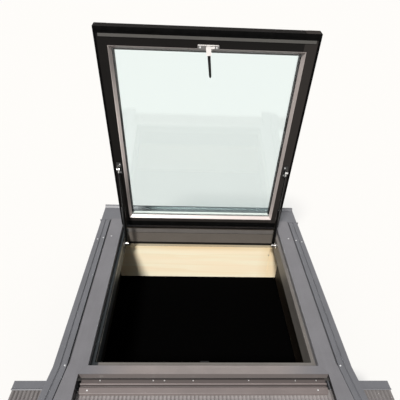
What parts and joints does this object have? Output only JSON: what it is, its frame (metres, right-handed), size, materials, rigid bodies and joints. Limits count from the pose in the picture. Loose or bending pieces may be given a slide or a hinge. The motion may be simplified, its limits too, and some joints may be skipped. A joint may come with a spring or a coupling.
{
  "type": "roof skylight",
  "caption": "Top-hung roof window for a pitched roof: glazed sash on two gas struts, coated metal frame, timber lining, flashings and pleated apron.",
  "frame": {"origin": "centre of the frame's plan, on the lower edge of the timber lining", "axes": "+X across the slope, +Y up the slope towards the hinges, +Z away from the roof"},
  "size_m": [1.596, 1.6, 1.5242],
  "materials": {
    "kerb": "powder coated, semi-matt",
    "pine": "planed and clear varnished",
    "stained_board": "planed, dark stained",
    "sill_sheet": "coated sheet, semi-matt",
    "cover_sheet": "coated sheet, semi-matt",
    "flashing_sheet": "coated sheet, semi-matt",
    "apron_sheet": "coated sheet, semi-matt",
    "skirt_sheet": "coated pleated sheet, matt",
    "fastener_steel": "zinc plated",
    "hinge_steel": "zinc plated",
    "bracket_steel": "coated, semi-gloss",
    "sash_bronze": "powder coated, semi-gloss",
    "key_aluminium": "mill finish",
    "bead_aluminium": "coated, satin",
    "strip_aluminium": "coated, satin",
    "glass": "clear float glass",
    "keeper_black": "black painted",
    "spacer_black": "black anodised",
    "rubber": "black EPDM",
    "handle_metal": "satin",
    "lever_black": "satin black",
    "strut_black": "gloss black",
    "strut_rod": "black nitrided, polished",
    "strut_eye": "satin"
  },
  "bodies": {
    "frame": {"apron": "apron_sheet", "apron_skirt": "skirt_sheet", "apron_tray": "flashing_sheet", "head_cover": "sill_sheet", "head_flashing": "flashing_sheet", "kerb_head": "kerb", "kerb_jamb_left": "kerb", "kerb_jamb_right": "kerb", "kerb_sill": "kerb", "lining_head": "pine", "lining_head_packer": "pine", "lining_left": "stained_board", "lining_right": "stained_board", "lining_sill": "pine", "side_cover_left": "cover_sheet", "side_cover_right": "cover_sheet", "side_flashing_left": "flashing_sheet", "side_flashing_right": "flashing_sheet", "sill_cover": "sill_sheet", "apron_rivets": "fastener_steel", "cover_screws": "fastener_steel", "frame_hardware_screws": "fastener_steel", "hinge_pins": "fastener_steel", "hinge_frame_leaves": "hinge_steel", "strut_frame_bracket_left": "bracket_steel", "strut_frame_bracket_right": "bracket_steel", "keeper": "keeper_black"},
    "sash": {"bead_free": "bead_aluminium", "bead_hinge": "bead_aluminium", "bead_left": "bead_aluminium", "bead_right": "bead_aluminium", "edge_sealant": "rubber", "free_end_strip": "strip_aluminium", "handle_base": "handle_metal", "hinge_sash_leaves": "hinge_steel", "inner_gasket": "rubber", "inner_pane": "glass", "outer_gasket": "rubber", "outer_pane": "glass", "sash_corner_keys": "key_aluminium", "sash_free_rail": "sash_bronze", "sash_hardware_screws": "fastener_steel", "sash_hinge_rail": "sash_bronze", "sash_stile_left": "sash_bronze", "sash_stile_right": "sash_bronze", "setting_blocks": "rubber", "spacer_bar": "spacer_black", "strut_sash_bracket_left": "bracket_steel", "strut_sash_bracket_right": "bracket_steel", "weather_seal": "rubber"},
    "handle": {"handle_neck": "handle_metal", "handle_lever": "lever_black"},
    "strut_left_lower": {"strut_left_cylinder": "strut_black", "strut_left_lower_eye": "strut_eye"},
    "strut_left_upper": {"strut_left_rod": "strut_rod", "strut_left_upper_eye": "strut_eye"},
    "strut_right_lower": {"strut_right_cylinder": "strut_black", "strut_right_lower_eye": "strut_eye"},
    "strut_right_upper": {"strut_right_rod": "strut_rod", "strut_right_upper_eye": "strut_eye"}
  },
  "joints": [
    {"name": "sash_hinge", "type": "hinge", "parent": "frame", "child": "sash", "pos_m": [0, 0.5384, 0.44], "axis": [1, 0, 0], "range_deg": [0, 83]},
    {"name": "handle_turn", "type": "hinge", "parent": "sash", "child": "handle", "pos_m": [0.002, 0.36076, 1.45189], "axis": [0, -0.9925, -0.1219], "range_deg": [-6.5, 83.5]},
    {"name": "strut_left_swing", "type": "hinge", "parent": "frame", "child": "strut_left_lower", "pos_m": [-0.462, 0.423, 0.348], "axis": [1, 0, 0], "range_deg": [0, 84.67]},
    {"name": "strut_left_slide", "type": "slide", "parent": "strut_left_lower", "child": "strut_left_upper", "axis": [0, 0.0094, 1], "range_m": [-0.1956, 0]},
    {"name": "strut_right_swing", "type": "hinge", "parent": "frame", "child": "strut_right_lower", "pos_m": [0.462, 0.423, 0.348], "axis": [1, 0, 0], "range_deg": [0, 84.67]},
    {"name": "strut_right_slide", "type": "slide", "parent": "strut_right_lower", "child": "strut_right_upper", "axis": [0, 0.0094, 1], "range_m": [-0.1956, 0]}
  ],
  "couplings": [
    {"joint": "strut_left_swing", "follows": "sash_hinge", "ratio": 1.019},
    {"joint": "strut_left_slide", "follows": "sash_hinge", "m_per_rad": -0.13482},
    {"joint": "strut_right_swing", "follows": "sash_hinge", "ratio": 1.019},
    {"joint": "strut_right_slide", "follows": "sash_hinge", "m_per_rad": -0.13482}
  ]
}
